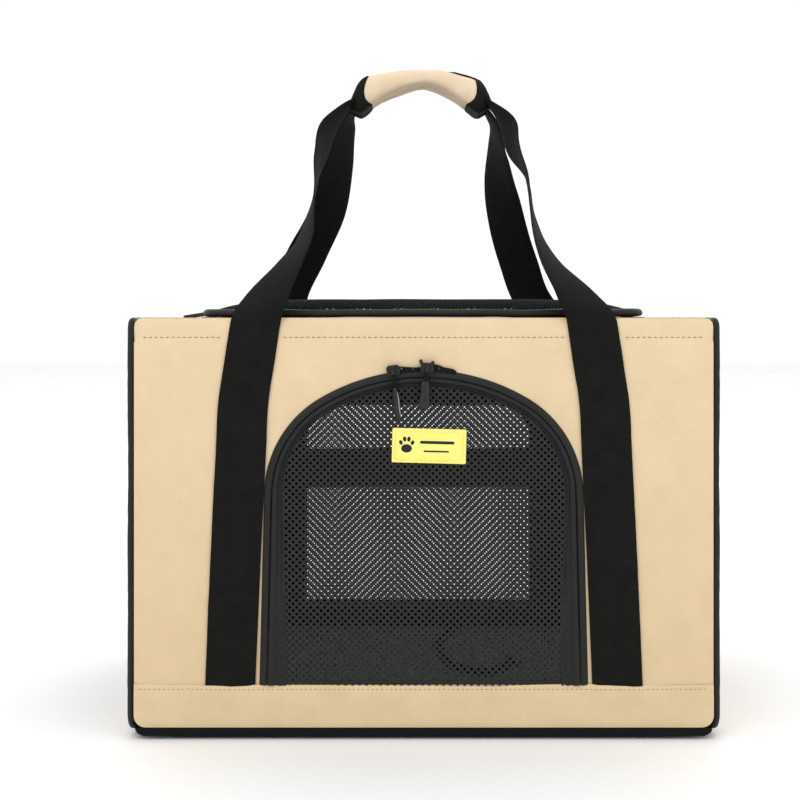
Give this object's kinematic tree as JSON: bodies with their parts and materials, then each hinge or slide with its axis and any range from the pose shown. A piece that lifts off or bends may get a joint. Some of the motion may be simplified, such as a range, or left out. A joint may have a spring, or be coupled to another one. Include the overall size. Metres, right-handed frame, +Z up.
{
  "type": "pet transport carrier",
  "caption": "Soft-sided pet carrier with an arched mesh door in front, a domed mesh lid, webbing handles joined in a padded grip, a padded mat and a safety tether.",
  "frame": {"origin": "centre of the footprint, on the surface that the carrier stands on", "axes": "+Z up, front door facing -Y, +X to the right seen from the front"},
  "size_m": [0.45, 0.2914, 0.532],
  "materials": {
    "beige_fabric": "plain woven polyester, matt",
    "foam": "closed-cell foam interlining",
    "black_lining": "smooth black woven lining",
    "spring_steel": "drawn wire",
    "black_mesh": "open knitted mesh",
    "black_binding": "grosgrain binding tape",
    "black_webbing": "ribbed polypropylene webbing",
    "zip_tape": "woven zip tape",
    "zip_coil": "nylon coil",
    "black_base": "coated black fabric",
    "board": "stiff polyethylene board",
    "grey_mat": "brushed dark grey fleece",
    "black_slider": "black enamelled die-cast metal",
    "rubber_tab": "soft moulded tab",
    "yellow_label": "woven label",
    "hook_metal": "plated zinc",
    "hook_and_loop": "hook-and-loop tape"
  },
  "bodies": {
    "carrier_body": {"base_board": "board", "base_mat": "grey_mat", "base_panel": "black_base", "front_foam": "foam", "front_kick_band": "beige_fabric", "front_lining": "black_lining", "front_panel": "beige_fabric", "front_top_rod": "spring_steel", "front_webbing_runs": "black_webbing", "front_zip_coil": "zip_coil", "front_zip_tape": "zip_tape", "left_edge_binding": "black_binding", "left_pocket": "black_mesh", "left_pocket_binding": "black_binding", "left_side_panel": "beige_fabric", "left_window_binding": "black_binding", "left_window_mesh": "black_mesh", "lid_zip_coil": "zip_coil", "lid_zip_tape": "zip_tape", "luggage_band": "black_webbing", "rear_foam": "foam", "rear_kick_band": "beige_fabric", "rear_lining": "black_lining", "rear_panel": "beige_fabric", "rear_top_rod": "spring_steel", "rear_webbing_runs": "black_webbing", "rear_window_binding": "black_binding", "rear_window_mesh": "black_mesh", "right_edge_binding": "black_binding", "right_side_panel": "beige_fabric", "right_window_binding": "black_binding", "right_window_mesh": "black_mesh", "snap_hook": "hook_metal", "tether_strap": "black_webbing", "top_panel": "beige_fabric"},
    "front_door": {"door_mesh": "black_mesh", "door_binding": "black_binding", "door_zip_coil": "zip_coil", "door_label": "yellow_label"},
    "lid": {"lid_mesh": "black_mesh", "lid_rim": "black_binding", "lid_edge_coil": "zip_coil"},
    "front_handle": {"front_handle_webbing": "black_webbing", "front_grip_pad": "beige_fabric", "front_grip_cuffs": "black_binding", "front_grip_tape": "hook_and_loop"},
    "rear_handle": {"rear_handle_webbing": "black_webbing", "rear_grip_pad": "beige_fabric", "rear_grip_cuffs": "black_binding", "rear_grip_tape": "hook_and_loop"},
    "left_slider": {"front_slider_left": "black_slider"},
    "right_slider": {"front_slider_right": "black_slider"},
    "left_puller": {"front_puller_left": "rubber_tab"},
    "right_puller": {"front_puller_right": "rubber_tab"},
    "lid_front_slider": {"lid_slider_front": "black_slider"},
    "lid_rear_slider": {"lid_slider_rear": "black_slider"},
    "lid_front_puller": {"lid_puller_front": "rubber_tab"},
    "lid_rear_puller": {"lid_puller_rear": "rubber_tab"},
    "hook_gate": {"snap_hook_gate": "hook_metal"}
  },
  "joints": [
    {"name": "door_hinge", "type": "hinge", "parent": "carrier_body", "child": "front_door", "pos_m": [0, -0.1417, 0.0424], "axis": [1, 0, 0], "range_deg": [0, 98]},
    {"name": "rear_handle_hinge", "type": "hinge", "parent": "carrier_body", "child": "rear_handle", "pos_m": [0, 0.143, 0.32], "axis": [-1, 0, 0], "range_deg": [0, 140]},
    {"name": "front_handle_hinge", "type": "hinge", "parent": "carrier_body", "child": "front_handle", "pos_m": [0, -0.143, 0.32], "axis": [1, 0, 0], "range_deg": [0, 140]},
    {"name": "lid_hinge", "type": "hinge", "parent": "carrier_body", "child": "lid", "pos_m": [0, 0.1203, 0.3203], "axis": [-1, 0, 0], "range_deg": [0, 98]},
    {"name": "left_slider_travel", "type": "hinge", "parent": "front_door", "child": "left_slider", "pos_m": [0, -0.1419, 0.125], "axis": [0, -1, 0], "range_deg": [0, 22]},
    {"name": "right_slider_travel", "type": "hinge", "parent": "front_door", "child": "right_slider", "pos_m": [0, -0.1419, 0.125], "axis": [0, 1, 0], "range_deg": [0, 28]},
    {"name": "left_puller_hinge", "type": "hinge", "parent": "left_slider", "child": "left_puller", "pos_m": [-0.02318, -0.14605, 0.28008], "axis": [-1, 0, 0], "range_deg": [0, 100]},
    {"name": "right_puller_hinge", "type": "hinge", "parent": "right_slider", "child": "right_puller", "pos_m": [0.00246, -0.14605, 0.28178], "axis": [-1, 0, 0], "range_deg": [0, 100]},
    {"name": "lid_front_slider_travel", "type": "slide", "parent": "lid", "child": "lid_front_slider", "axis": [0, -1, 0], "range_m": [0, 0.125]},
    {"name": "lid_rear_slider_travel", "type": "slide", "parent": "lid", "child": "lid_rear_slider", "axis": [0, 1, 0], "range_m": [0, 0.04]},
    {"name": "lid_front_puller_hinge", "type": "hinge", "parent": "lid_front_slider", "child": "lid_front_puller", "pos_m": [-0.1773, 0.032, 0.32545], "axis": [0, 1, 0], "range_deg": [0, 120]},
    {"name": "lid_rear_puller_hinge", "type": "hinge", "parent": "lid_rear_slider", "child": "lid_rear_puller", "pos_m": [-0.1773, 0.048, 0.32545], "axis": [0, 1, 0], "range_deg": [0, 120]},
    {"name": "hook_gate_hinge", "type": "hinge", "parent": "carrier_body", "child": "hook_gate", "pos_m": [0.06962, -0.01592, 0.0279], "axis": [0, 0, -1], "range_deg": [0, 25], "stiffness_Nm_per_rad": 0.002}
  ],
  "couplings": [
    {"joint": "front_handle_hinge", "follows": "rear_handle_hinge", "ratio": 1},
    {"joint": "lid_hinge", "follows": "rear_handle_hinge", "ratio": 0.7}
  ]
}
